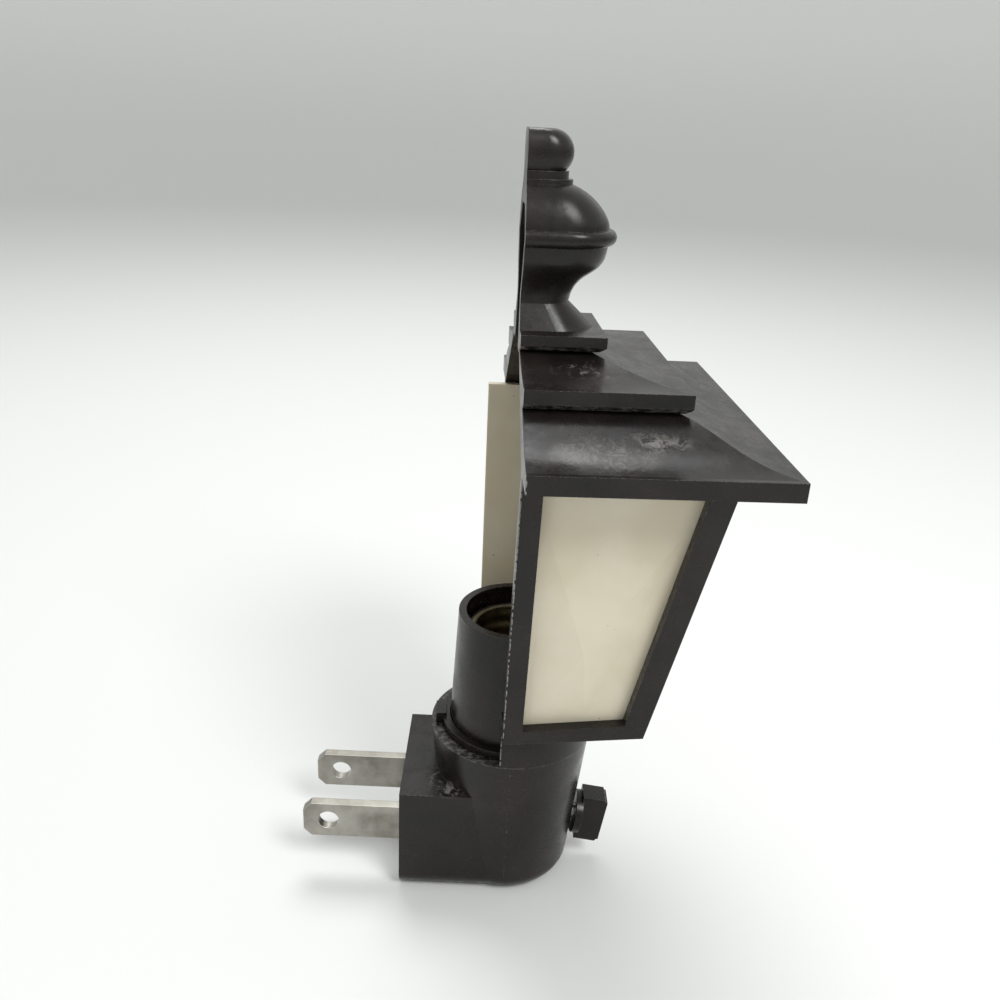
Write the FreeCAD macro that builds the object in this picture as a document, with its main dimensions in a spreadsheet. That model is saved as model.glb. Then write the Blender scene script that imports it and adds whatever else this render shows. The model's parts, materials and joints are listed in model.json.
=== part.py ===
import FreeCAD, Part
import Sketcher
import math
import os
import re

# Plug in night light: a plug housing with a lamp socket and a turn switch, and a
# half lantern shade that stands on the flange round the socket.
# X runs across the light, +Y points to the wall and the blades' tips, +Z is up.
# The origin is on the face that meets the wall, midway between the two blades.

doc = FreeCAD.newDocument("night_light")
sheet = doc.addObject("Spreadsheet::Sheet", "Sizes")

SIZES = [
    # Plug blades
    ("blade_spacing", 12.7), ("blade_width", 6.35), ("blade_thick", 1.5), ("blade_length", 16.0),
    ("blade_hole_radius", 1.7), ("blade_hole_reach", 11.9), ("blade_tip", 1.3), ("blade_tail", 5.0),
    # Plug housing
    ("axis_reach", 17.1), ("wall", 1.8), ("wall_plate", 2.4), ("block_half", 10.8), ("block_top", 8.8),
    ("base_low", 10.5), ("base_radius", 10.4), ("base_round", 3.2), ("flange_radius", 12.9),
    ("flange_top", 16.5), ("deck_thick", 4.0), ("recess_deep", 1.2), ("fit_clear", 0.08),
    # Lamp socket
    ("sleeve_radius", 9.9), ("sleeve_mouth", 9.1), ("sleeve_top", 36.6), ("sleeve_wall", 1.2),
    ("bead_wide", 0.9), ("bead_tall", 1.4), ("collar_tall", 1.2), ("ledge_drop", 3.0),
    ("shell_radius", 6.05), ("shell_thick", 0.35), ("shell_length", 17.0), ("shell_rim", 1.0),
    ("lamp_gap", 0.5), ("seat_thick", 2.6), ("seat_boss", 3.0), ("boss_tall", 2.4),
    ("rivet_radius", 1.2), ("contact_radius", 2.4), ("contact_tall", 1.1),
    # Straps inside the plug
    ("strap_thick", 0.4), ("strap_wide", 4.0), ("finger_offset", 3.3), ("finger_wide", 1.8),
    ("tongue_wide", 2.0), ("tongue_thick", 0.28), ("tongue_reach", 3.0), ("touch_gap", 0.4),
    # Turn switch, along its own axis from the front of the housing
    ("switch_height", 1.6), ("switch_tilt", 8.0), ("shaft_radius", 1.3), ("knob_gap", 0.3),
    ("hub_radius", 3.6), ("hub_tall", 1.2), ("grip_tall", 8.6), ("grip_thick", 3.6), ("grip_reach", 3.9),
    ("grip_lift", 0.9), ("grip_round", 0.5), ("rotor_radius", 5.0), ("rotor_thick", 2.6), ("rotor_back", 3.8),
    ("bridge_thick", 0.5), ("bridge_length", 9.2), ("bridge_wide", 4.2), ("clip_radius", 2.3),
    ("clip_thick", 0.5), ("washer_radius", 3.0), ("washer_thick", 0.5),
    # Turning ring under the shade
    ("ring_wide", 1.25), ("ring_above", 1.3), ("tab_wide", 3.4), ("tab_reach", 12.2), ("tab_tall", 1.9),
    # Lantern shade: half widths across, depths forward from its open back
    ("shade_back", 14.7), ("shade_yaw", 3.0), ("seat_clear", 0.1), ("skirt_radius", 13.1),
    ("skirt_flare", 0.3), ("cage_low", 22.9), ("cage_rise", 1.6), ("cage_low_half", 15.8),
    ("cage_low_depth", 20.3), ("cage_top_half", 23.0), ("cage_top_depth", 27.5), ("shade_wall", 1.8),
    ("floor_thick", 0.9), ("post_back", 2.8), ("post_front", 3.4), ("front_post", 4.8),
    ("rail_low", 2.4), ("rail_top", 1.5), ("eave_low", 67.5), ("eave_thick", 2.5), ("eave_half", 28.8),
    ("eave_depth", 33.3), ("roof_rise", 4.6), ("shelf_thick", 2.6), ("shelf_half", 18.3),
    ("shelf_depth", 21.3), ("crown_rise", 2.4), ("cap_thick", 2.1), ("cap_half", 8.25), ("cap_depth", 11.4),
    ("ledge_inset", 0.8), ("under_bevel", 0.7),
    ("eave_top", "=eave_low + eave_thick"), ("shelf_low", "=eave_top + roof_rise"),
    ("shelf_top", "=shelf_low + shelf_thick"), ("cap_low", "=shelf_top + crown_rise"),
    ("cap_top", "=cap_low + cap_thick"),
    # Finial on the shade
    ("finial_share", 0.53), ("foot_reach", 10.4), ("foot_rise", 3.3), ("waist_reach", 6.8),
    ("bell_reach", 11.6), ("bell_rise", 8.6), ("bead_round", 1.05), ("dome_crown", 6.2), ("dome_rise", 6.5),
    ("collar_reach", 6.3), ("collar_rise", 0.6), ("neck_reach", 5.7), ("neck_rise", 1.0),
    ("ball_rise", 2.2), ("ball_round", 2.9), ("ball_reach", 6.2),
    ("finial_bore", 4.4), ("bore_flare", 2.0), ("waist_land", 1.0), ("dome_roof", 2.6),
    ("waist_height", "=cap_top + foot_rise"), ("bead_height", "=waist_height + bell_rise"),
    ("dome_top", "=bead_height + dome_rise"), ("collar_top", "=dome_top + collar_rise"),
    ("neck_top", "=collar_top + neck_rise"), ("ball_height", "=neck_top + ball_rise"),
    # Window panes
    ("pane_thick", 1.2), ("pane_gap", 0.25), ("pane_slip", 3.0), ("relief_inset", 3.0), ("relief_clear", 0.2),
    ("relief_tall", 0.7), ("relief_peak", 0.36), ("relief_across", 0.42),
]

for row, (alias, number) in enumerate(SIZES, start=1):
    sheet.set("A%d" % row, alias)
    sheet.set("B%d" % row, str(number))
    sheet.setAlias("B%d" % row, alias)
doc.recompute()
ALIASES = {alias for alias, number in SIZES}


def bound(text):
    """The expression with each size written as a cell of the sheet."""
    def cell(match):
        word = match.group(0)
        return "Sizes." + word if word in ALIASES else word
    return re.sub(r"[a-z_]+", cell, str(text))


def value(text):
    """The number that an expression of sizes gives now."""
    found = sheet.evalExpression(bound(text))
    return float(getattr(found, "Value", found))


# Helpers for bodies, sketches and features

def new_body(label):
    body = doc.addObject("PartDesign::Body", label)
    body.Label = label
    return body


def plane_of(body, role):
    for feature in body.Origin.OriginFeatures:
        if feature.Role == role:
            return feature
    raise ValueError(role)


def new_sketch(body, name, role, offset="0", sideways="0", upward="0", tilt="0"):
    """A sketch on an origin plane, moved along the plane's normal and within the plane."""
    sketch = body.newObject("Sketcher::SketchObject", name)
    sketch.AttachmentSupport = (plane_of(body, role), [""])
    sketch.MapMode = "FlatFace"
    turn = FreeCAD.Rotation(FreeCAD.Vector(1, 0, 0), value(tilt))
    place = FreeCAD.Vector(value(sideways), value(upward), value(offset))
    sketch.AttachmentOffset = FreeCAD.Placement(place, turn)
    for axis, text in (("x", sideways), ("y", upward), ("z", offset)):
        if text != "0":
            sketch.setExpression("AttachmentOffset.Base." + axis, bound(text))
    if tilt != "0":
        sketch.setExpression("AttachmentOffset.Rotation.Angle", bound(tilt))
    return sketch


def fix_number(sketch, kind, geometry, point, text):
    if text == "0":
        axis = -2 if kind == "DistanceX" else -1
        sketch.addConstraint(Sketcher.Constraint("PointOnObject", geometry, point, axis))
        return
    index = sketch.addConstraint(Sketcher.Constraint(kind, geometry, point, value(text)))
    sketch.setExpression("Constraints[%d]" % index, bound(text))


def arc_between(start, end, radius, leftward):
    """The circle's arc from start to end that bulges to the left or right of the way."""
    chord = end - start
    half = chord.Length / 2
    lift = math.sqrt(max(radius * radius - half * half, 0.0))
    normal = FreeCAD.Vector(-chord.y, chord.x, 0)
    normal.normalize()
    side = -1 if leftward else 1
    centre = (start + end) * 0.5 + normal * lift * side
    first, last = (end, start) if leftward else (start, end)
    angle_one = math.atan2(first.y - centre.y, first.x - centre.x)
    angle_two = math.atan2(last.y - centre.y, last.x - centre.x)
    circle = Part.Circle(centre, FreeCAD.Vector(0, 0, 1), radius)
    return Part.ArcOfCircle(circle, angle_one, angle_two)


def outline(sketch, corners):
    """A closed outline. A corner is (x, y), or (x, y, radius, side) when an arc leads to it."""
    spots = [FreeCAD.Vector(value(corner[0]), value(corner[1]), 0) for corner in corners]
    first = sketch.GeometryCount
    ends = []
    for number, corner in enumerate(corners):
        start, end = spots[number - 1], spots[number]
        if len(corner) == 2:
            sketch.addGeometry(Part.LineSegment(start, end), False)
            ends.append((1, 2))
        else:
            leftward = corner[3] == "left"
            sketch.addGeometry(arc_between(start, end, value(corner[2]), leftward), False)
            ends.append((2, 1) if leftward else (1, 2))
    count = len(corners)
    for number, corner in enumerate(corners):
        following = (number + 1) % count
        meet = ("Coincident", first + number, ends[number][1], first + following, ends[following][0])
        sketch.addConstraint(Sketcher.Constraint(*meet))
    for number, corner in enumerate(corners):
        fix_number(sketch, "DistanceX", first + number, ends[number][1], corner[0])
        fix_number(sketch, "DistanceY", first + number, ends[number][1], corner[1])
        if len(corner) > 2:
            index = sketch.addConstraint(Sketcher.Constraint("Radius", first + number, value(corner[2])))
            sketch.setExpression("Constraints[%d]" % index, bound(corner[2]))


def rectangle(sketch, left, right, low, high):
    outline(sketch, [(left, low), (right, low), (right, high), (left, high)])


def circle(sketch, across, upward, radius):
    centre = FreeCAD.Vector(value(across), value(upward), 0)
    number = sketch.addGeometry(Part.Circle(centre, FreeCAD.Vector(0, 0, 1), value(radius)), False)
    fix_number(sketch, "DistanceX", number, 3, across)
    fix_number(sketch, "DistanceY", number, 3, upward)
    index = sketch.addConstraint(Sketcher.Constraint("Radius", number, value(radius)))
    sketch.setExpression("Constraints[%d]" % index, bound(radius))


def extrude(body, kind, sketch, length, name, inward=False):
    """A pad or a pocket along the sketch's normal, or against it when inward."""
    before = body.Shape.Volume if kind == "Pocket" else 0.0
    feature = body.newObject("PartDesign::" + kind, name)
    feature.Profile = sketch
    feature.Reversed = (kind == "Pocket") != inward
    feature.setExpression("Length", bound(length))
    sketch.Visibility = False
    doc.recompute()
    if kind == "Pocket" and body.Shape.Volume > before - 1e-4:
        raise ValueError(name + " takes nothing away")
    return feature


def turn(body, kind, sketch, name):
    """A revolution or a groove about the sketch's vertical axis."""
    before = body.Shape.Volume if kind == "Groove" else 0.0
    feature = body.newObject("PartDesign::" + kind, name)
    feature.Profile = sketch
    feature.ReferenceAxis = (sketch, ["V_Axis"])
    feature.Angle = 360
    sketch.Visibility = False
    doc.recompute()
    if kind == "Groove" and body.Shape.Volume > before - 1e-4:
        raise ValueError(name + " takes nothing away")
    return feature


def loft(body, kind, sketches, name, ruled):
    feature = body.newObject("PartDesign::" + kind, name)
    feature.Profile = sketches[0]
    feature.Sections = sketches[1:]
    feature.Ruled = ruled
    for sketch in sketches:
        sketch.Visibility = False
    doc.recompute()
    return feature


# Sizes that several pieces share, as expressions

deck_low = "(flange_top - deck_thick)"
recess_floor = "(flange_top - recess_deep)"
ring_outer = "(sleeve_radius + fit_clear + ring_wide)"
base_floor = "(wall - base_low)"
flank_slope = "((flange_radius - base_radius) / (flange_top + base_low))"
deck_radius = "(flange_radius - deck_thick * %s - wall)" % flank_slope
ledge_height = "(sleeve_top - ledge_drop)"
bore_radius = "(shell_radius + shell_thick + lamp_gap)"
shell_low = "(%s - shell_length)" % ledge_height
seat_low = "(%s - seat_thick)" % shell_low
boss_low = "(%s - boss_tall)" % seat_low
front_radius = "(base_radius + (base_low - switch_height) * %s)" % flank_slope
front_reach = "(axis_reach + %s)" % front_radius
bridge_back = "(rotor_back + rotor_thick + bridge_thick)"
finger_face = "(%s - %s * cos(switch_tilt) - touch_gap)" % (front_reach, bridge_back)
skirt_inner = "(%s + fit_clear)" % ring_outer
shade_low = "(flange_top + seat_clear)"
floor_top = "(cage_low + cage_rise + floor_thick)"


# Plug housing: a block behind the wall face, and a tapered round part under a flange,
# moulded as a rear and a front half that meet in the plane of the socket's axis

def housing_form(body):
    profile = new_sketch(body, body.Label + "_profile", "XZ_Plane", offset="axis_reach")
    foot = "base_radius + base_round * %s" % flank_slope
    outline(profile, [
        ("0", "-base_low"), ("base_radius - base_round", "-base_low"),
        (foot, "base_round - base_low", "base_round * 1.02", "right"),
        ("flange_radius", "flange_top"), ("0", "flange_top")])
    turn(body, "Revolution", profile, body.Label + "_round")
    return body


def housing_hollow(body):
    profile = new_sketch(body, body.Label + "_hollow_profile", "XZ_Plane", offset="axis_reach")
    hole = "sleeve_radius + fit_clear"
    bead = "%s + bead_wide" % hole
    outline(profile, [
        ("0", base_floor), ("base_radius - wall", base_floor), (deck_radius, deck_low),
        (bead, deck_low), (bead, "%s + bead_tall" % deck_low), (hole, "%s + bead_tall" % deck_low),
        (hole, recess_floor), ("%s + fit_clear" % ring_outer, recess_floor),
        ("%s + fit_clear" % ring_outer, "flange_top"), ("0", "flange_top")])
    turn(body, "Groove", profile, body.Label + "_hollow")


def make_rear_housing():
    body = housing_form(new_body("rear_housing"))
    block = new_sketch(body, "block_outline", "XZ_Plane")
    outline(block, [
        ("base_round - base_radius", "-base_low", "base_round", "right"),
        ("base_radius - base_round", "-base_low"),
        ("base_radius", "base_round - base_low", "base_round", "right"), ("block_half", "block_top"),
        ("-block_half", "block_top"), ("-base_radius", "base_round - base_low")])
    extrude(body, "Pad", block, "axis_reach", "block")
    housing_hollow(body)
    front = new_sketch(body, "front_half", "XZ_Plane", offset="axis_reach")
    rectangle(front, "-flange_radius * 2", "flange_radius * 2", "-base_low * 2", "flange_top * 2")
    extrude(body, "Pocket", front, "flange_radius * 2", "split")
    room = new_sketch(body, "block_room", "XZ_Plane", offset="wall_plate")
    rectangle(room, "wall - base_radius", "base_radius - wall", base_floor, "block_top - wall")
    extrude(body, "Pocket", room, "axis_reach", "block_hollow")
    slots = new_sketch(body, "blade_slots", "XZ_Plane")
    for side in ("-", ""):
        middle = "%sblade_spacing / 2" % side
        half = "blade_thick / 2"
        rectangle(slots, "%s - %s" % (middle, half), "%s + %s" % (middle, half),
                  "-blade_width / 2", "blade_width / 2")
    extrude(body, "Pocket", slots, "wall_plate", "slots")
    return body


def make_front_housing():
    body = housing_form(new_body("front_housing"))
    housing_hollow(body)
    rear = new_sketch(body, "rear_half", "XZ_Plane", offset="axis_reach - flange_radius * 2")
    rectangle(rear, "-flange_radius * 2", "flange_radius * 2", "-base_low * 2", "flange_top * 2")
    extrude(body, "Pocket", rear, "flange_radius * 2", "split_front")
    hole = new_sketch(body, "shaft_hole_outline", "XZ_Plane", offset="%s + wall" % front_reach,
                      upward="-switch_height - wall * tan(switch_tilt)", tilt="switch_tilt")
    circle(hole, "0", "0", "shaft_radius + fit_clear")
    extrude(body, "Pocket", hole, "wall * 4", "shaft_hole", inward=True)
    return body


# Lamp socket

def make_socket_sleeve():
    body = new_body("socket_sleeve")
    profile = new_sketch(body, "sleeve_profile", "XZ_Plane", offset="axis_reach")
    bead = "sleeve_radius + bead_wide"
    mouth = "sleeve_mouth - sleeve_wall"
    outline(profile, [
        (bore_radius, deck_low), (bead, deck_low), (bead, "%s + bead_tall" % deck_low),
        ("sleeve_radius", "%s + bead_tall" % deck_low), ("sleeve_radius", "flange_top + collar_tall"),
        ("sleeve_mouth", "sleeve_top"), (mouth, "sleeve_top"), (mouth, ledge_height),
        (bore_radius, ledge_height)])
    turn(body, "Revolution", profile, "sleeve")
    return body


def make_screw_shell():
    body = new_body("screw_shell")
    profile = new_sketch(body, "shell_profile", "XZ_Plane", offset="axis_reach")
    outer = "shell_radius + shell_thick"
    rim = "%s + shell_rim" % outer
    outline(profile, [
        ("shell_radius", shell_low), (outer, shell_low), (outer, ledge_height), (rim, ledge_height),
        (rim, "%s + shell_thick" % ledge_height), ("shell_radius", "%s + shell_thick" % ledge_height)])
    turn(body, "Revolution", profile, "shell")
    return body


def make_base_insulator():
    body = new_body("base_insulator")
    profile = new_sketch(body, "insulator_profile", "XZ_Plane", offset="axis_reach")
    outer = "shell_radius + shell_thick"
    cup = "contact_radius + fit_clear"
    cup_floor = "%s - contact_tall" % shell_low
    outline(profile, [
        ("rivet_radius", boss_low), ("seat_boss", boss_low), ("seat_boss", seat_low), (outer, seat_low),
        (outer, shell_low), (cup, shell_low), (cup, cup_floor), ("rivet_radius", cup_floor)])
    turn(body, "Revolution", profile, "insulator")
    return body


def make_centre_contact():
    body = new_body("centre_contact")
    profile = new_sketch(body, "contact_profile", "XZ_Plane", offset="axis_reach")
    cup_floor = "%s - contact_tall" % shell_low
    outline(profile, [
        ("0", boss_low), ("rivet_radius", boss_low), ("rivet_radius", cup_floor),
        ("contact_radius", cup_floor),
        ("0", shell_low, "(contact_radius ^ 2 + contact_tall ^ 2) / (2 * contact_tall)",
         "right")])
    turn(body, "Revolution", profile, "contact")
    return body


# Blades and the straps behind them

def make_blade(label, side):
    body = new_body(label)
    plate = new_sketch(body, label + "_outline", "YZ_Plane",
                       offset="%sblade_spacing / 2 - blade_thick / 2" % side)
    tip = "blade_length - blade_tip"
    corner = "blade_width / 2 - blade_tip"
    outline(plate, [
        ("-wall_plate - blade_tail", "-blade_width / 2"), (tip, "-blade_width / 2"),
        ("blade_length", "-(%s)" % corner), ("blade_length", corner), (tip, "blade_width / 2"),
        ("-wall_plate - blade_tail", "blade_width / 2")])
    circle(plate, "blade_hole_reach", "0", "blade_hole_radius")
    extrude(body, "Pad", plate, "blade_thick", label + "_plate")
    return body


def make_live_strap():
    body = new_body("live_strap")
    path = new_sketch(body, "live_outline", "XY_Plane", offset="-strap_wide / 2 - switch_height / 2")
    outer = "-blade_spacing / 2 - blade_thick / 2"
    inner = "-finger_offset + finger_wide / 2"
    outline(path, [
        ("%s - strap_thick" % outer, "-wall_plate"), ("%s - strap_thick" % outer, "-%s" % finger_face),
        (inner, "-%s" % finger_face), (inner, "strap_thick - %s" % finger_face),
        (outer, "strap_thick - %s" % finger_face), (outer, "-wall_plate")])
    extrude(body, "Pad", path, "strap_wide", "live_strip")
    return body


def make_neutral_strap():
    body = new_body("neutral_strap")
    near = "blade_spacing / 2 + blade_thick / 2"
    arm = new_sketch(body, "neutral_arm", "YZ_Plane", offset=near)
    rectangle(arm, "-axis_reach - tongue_wide / 2", "-wall_plate", "-strap_wide / 2", "strap_wide / 2")
    extrude(body, "Pad", arm, "strap_thick", "neutral_strip")
    outer = "shell_radius + shell_thick"
    under = "%s - tongue_reach" % deck_low
    rise = new_sketch(body, "neutral_rise", "XZ_Plane", offset="axis_reach - tongue_wide / 2")
    outline(rise, [
        (near, "0"), ("%s + strap_thick" % near, "0"), ("%s + strap_thick" % near, "%s + strap_thick" % under),
        ("%s + tongue_thick" % outer, "%s + strap_thick" % under),
        ("%s + tongue_thick" % outer, "%s + tongue_reach" % shell_low),
        (outer, "%s + tongue_reach" % shell_low), (outer, under), (near, under)])
    extrude(body, "Pad", rise, "tongue_wide", "neutral_tongue")
    return body


def make_lamp_strap():
    body = new_body("lamp_strap")
    rise = new_sketch(body, "lamp_rise", "XZ_Plane", offset="%s - strap_thick" % finger_face)
    rectangle(rise, "finger_offset - finger_wide / 2", "finger_offset + finger_wide / 2",
              "-switch_height - strap_wide / 2", boss_low)
    extrude(body, "Pad", rise, "strap_thick", "lamp_finger")
    tab = new_sketch(body, "lamp_tab", "XY_Plane", offset="%s - strap_thick" % boss_low)
    outline(tab, [
        ("finger_offset + finger_wide / 2", "-%s" % finger_face),
        ("finger_offset + finger_wide / 2", "seat_boss * 0.6 - axis_reach"),
        ("-seat_boss * 0.6", "seat_boss * 0.6 - axis_reach"),
        ("-seat_boss * 0.6", "-seat_boss * 0.6 - axis_reach"),
        ("finger_offset - finger_wide / 2", "-seat_boss * 0.6 - axis_reach"),
        ("finger_offset - finger_wide / 2", "-%s" % finger_face)])
    extrude(body, "Pad", tab, "strap_thick", "lamp_plate")
    return body


# Turn switch. Its pieces are drawn with their axis along the plane's normal and then
# placed on the front of the housing, tilted down with the housing's front.

def switch_place():
    spin = FreeCAD.Rotation(FreeCAD.Vector(1, 0, 0), value("switch_tilt"))
    spot = FreeCAD.Vector(0, -value(front_reach), -value("switch_height"))
    return FreeCAD.Placement(spot, spin)


def switch_sketch(body, name, outward):
    return new_sketch(body, name, "XZ_Plane", offset=outward)


def make_switch_knob():
    body = new_body("switch_knob")
    hub = switch_sketch(body, "hub_outline", "knob_gap")
    circle(hub, "0", "0", "hub_radius")
    extrude(body, "Pad", hub, "hub_tall", "hub")
    grip = new_sketch(body, "grip_outline", "YZ_Plane", offset="-grip_thick / 2")
    root = "-knob_gap - grip_lift"
    reach = "-knob_gap - hub_tall - grip_reach"
    outline(grip, [
        (root, "-grip_tall / 2"), (root, "grip_tall / 2"), ("%s + grip_round" % reach, "grip_tall / 2"),
        (reach, "grip_tall / 2 - grip_round", "grip_round", "left"),
        (reach, "grip_round - grip_tall / 2"),
        ("%s + grip_round" % reach, "-grip_tall / 2", "grip_round", "left")])
    extrude(body, "Pad", grip, "grip_thick", "grip")
    bore = switch_sketch(body, "knob_bore_outline", "knob_gap")
    circle(bore, "0", "0", "shaft_radius")
    extrude(body, "Pocket", bore, "hub_tall + grip_reach / 2", "knob_bore")
    body.Placement = switch_place()
    return body


def make_switch_shaft():
    body = new_body("switch_shaft")
    rod = switch_sketch(body, "shaft_outline", "-(%s) - clip_thick * 2" % bridge_back)
    circle(rod, "0", "0", "shaft_radius")
    length = "%s + clip_thick * 2 + knob_gap + hub_tall + grip_reach / 2" % bridge_back
    extrude(body, "Pad", rod, length, "shaft")
    body.Placement = switch_place()
    return body


def make_switch_rotor():
    body = new_body("switch_rotor")
    disc = switch_sketch(body, "rotor_outline", "-rotor_back - rotor_thick")
    circle(disc, "0", "0", "rotor_radius")
    circle(disc, "0", "0", "shaft_radius")
    extrude(body, "Pad", disc, "rotor_thick", "rotor")
    body.Placement = switch_place()
    return body


def make_contact_bridge():
    body = new_body("contact_bridge")
    strip = switch_sketch(body, "bridge_outline", "-(%s)" % bridge_back)
    bend = "bridge_wide / 2"
    end = "bridge_length / 2 - %s" % bend
    outline(strip, [
        (end, "-(%s)" % bend), ("bridge_length / 2", "0", bend, "right"), (end, bend, bend, "right"),
        ("-(%s)" % end, bend), ("-bridge_length / 2", "0", bend, "right"),
        ("-(%s)" % end, "-(%s)" % bend, bend, "right")])
    circle(strip, "0", "0", "shaft_radius")
    extrude(body, "Pad", strip, "bridge_thick", "bridge")
    body.Placement = switch_place()
    return body


def make_shaft_clip():
    body = new_body("shaft_clip")
    clip = switch_sketch(body, "clip_outline", "-(%s) - clip_thick" % bridge_back)
    circle(clip, "0", "0", "clip_radius")
    circle(clip, "0", "0", "shaft_radius")
    extrude(body, "Pad", clip, "clip_thick", "clip")
    body.Placement = switch_place()
    return body


def make_spring_washer():
    body = new_body("spring_washer")
    profile = new_sketch(body, "washer_profile", "XY_Plane")
    back = "-rotor_back"
    outline(profile, [
        ("shaft_radius", "-(%s) - washer_thick * 2" % back), ("washer_radius", "-(%s) - washer_thick" % back),
        ("washer_radius", "-(%s)" % back), ("shaft_radius", "-(%s) - washer_thick" % back)])
    turn(body, "Revolution", profile, "washer")
    body.Placement = switch_place()
    return body


# The turning ring lies in the recess of the flange, round the foot of the sleeve

def shade_place():
    spin = FreeCAD.Rotation(FreeCAD.Vector(0, 0, 1), value("shade_yaw"))
    return FreeCAD.Placement(FreeCAD.Vector(0, 0, 0), spin, FreeCAD.Vector(0, -value("axis_reach"), 0))


def make_turn_ring():
    body = new_body("turn_ring")
    profile = new_sketch(body, "ring_profile", "XZ_Plane", offset="axis_reach")
    inner = "sleeve_radius + fit_clear"
    rectangle(profile, inner, ring_outer, recess_floor, "flange_top + ring_above")
    turn(body, "Revolution", profile, "ring")
    tab = new_sketch(body, "tab_outline", "XY_Plane", offset="flange_top + seat_clear")
    rectangle(tab, "-tab_wide / 2", "tab_wide / 2", "sleeve_radius + ring_wide / 2 - axis_reach",
              "tab_reach - axis_reach")
    extrude(body, "Pad", tab, "tab_tall", "tab")
    body.Placement = shade_place()
    return body


# Lantern shade: one moulding, open at the back

def plan(body, name, height, half, depth, start="0"):
    """A rectangle of the shade seen from above, from its open back forwards."""
    sketch = new_sketch(body, name, "XY_Plane", offset=height, upward="-shade_back")
    rectangle(sketch, "-(%s)" % half, half, "-(%s)" % depth, start)
    return sketch


# Shares of a form's width and rise, measured along its outline
ROOF_SWELL = ((0.0, 0.0), (0.22, 0.10), (0.45, 0.34), (0.68, 0.68), (0.86, 0.90), (1.0, 1.0))
CROWN_SWELL = ((0.0, 0.0), (0.22, 0.076), (0.45, 0.257), (0.68, 0.519), (0.86, 0.774), (1.0, 1.0))
BELL_SWELL = ((0.0, 0.0), (0.17, 0.07), (0.34, 0.23), (0.48, 0.48), (0.61, 0.76), (0.81, 0.95), (1.0, 1.0))
DOME_SWELL = ((0.0, 1.0), (0.20, 0.95), (0.44, 0.80), (0.68, 0.57), (0.86, 0.31), (1.0, 0.0))


def roof_profile(low, high, outer_half, outer_depth, inner_half, inner_depth, swell):
    """Stations of a roof that flares out to its eave and swells under its shelf."""
    stations = []
    for out, lift in swell:
        stations.append((
            "%s + (%s - %s) * %.4f" % (low, high, low, lift),
            "%s + (%s - %s) * %.4f" % (outer_half, inner_half, outer_half, out),
            "%s + (%s - %s) * %.4f" % (outer_depth, inner_depth, outer_depth, out)))
    return stations


def finial_plan(body, name, height, reach, bore=False):
    """The finial's section: flat sides from the back, round at the front."""
    sketch = new_sketch(body, name, "XY_Plane", offset=height, upward="-shade_back")
    half = "(%s) * finial_share" % reach
    outline(sketch, [
        ("-(%s)" % half, "0"), ("-(%s)" % half, "%s - (%s)" % (half, reach)),
        ("0", "-(%s)" % reach, half, "right"), (half, "%s - (%s)" % (half, reach), half, "right"),
        (half, "0")])
    return sketch


def finial_stations():
    """Runs of sections, each run one smooth form: foot, bell, bead, dome, collar, neck and ball."""
    def swing(low, tall, near, wide, angles, up, out):
        run = []
        for angle in angles:
            rise = "(%s) + (%s) * %.5f" % (low, tall, up(math.radians(angle)))
            reach = "(%s) + (%s) * %.5f" % (near, wide, out(math.radians(angle)))
            run.append((rise, reach))
        return run

    def rise_by(low, tall, near, wide, shares):
        return [("(%s) + (%s) * %.2f" % (low, tall, up), "(%s) + (%s) * %.2f" % (near, wide, out))
                for up, out in shares]
    foot = swing("cap_top", "foot_rise", "waist_reach", "foot_reach - waist_reach", (0, 22.5, 45, 67.5, 90),
                 math.sin, lambda a: 1 - math.sin(a))
    bell = rise_by("waist_height", "bell_rise - bead_round", "waist_reach",
                   "bell_reach - waist_reach", BELL_SWELL)
    bead = swing("bead_height", "bead_round", "bell_reach", "bead_round", (-90, -45, 0, 45, 90),
                 math.sin, math.cos)
    dome = rise_by("bead_height + bead_round", "dome_rise - bead_round", "dome_crown",
                   "bell_reach - dome_crown", DOME_SWELL)
    collar = [("dome_top", "collar_reach"), ("collar_top", "collar_reach")]
    neck = [("collar_top", "neck_reach"), ("neck_top", "neck_reach")]
    ball = swing("ball_height", "ball_round", "ball_reach - ball_round", "ball_round",
                 (-56, -28, 0, 28, 56, 84), math.sin, math.cos)
    return [foot, bell, bead, dome, collar, neck, ball]


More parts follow.
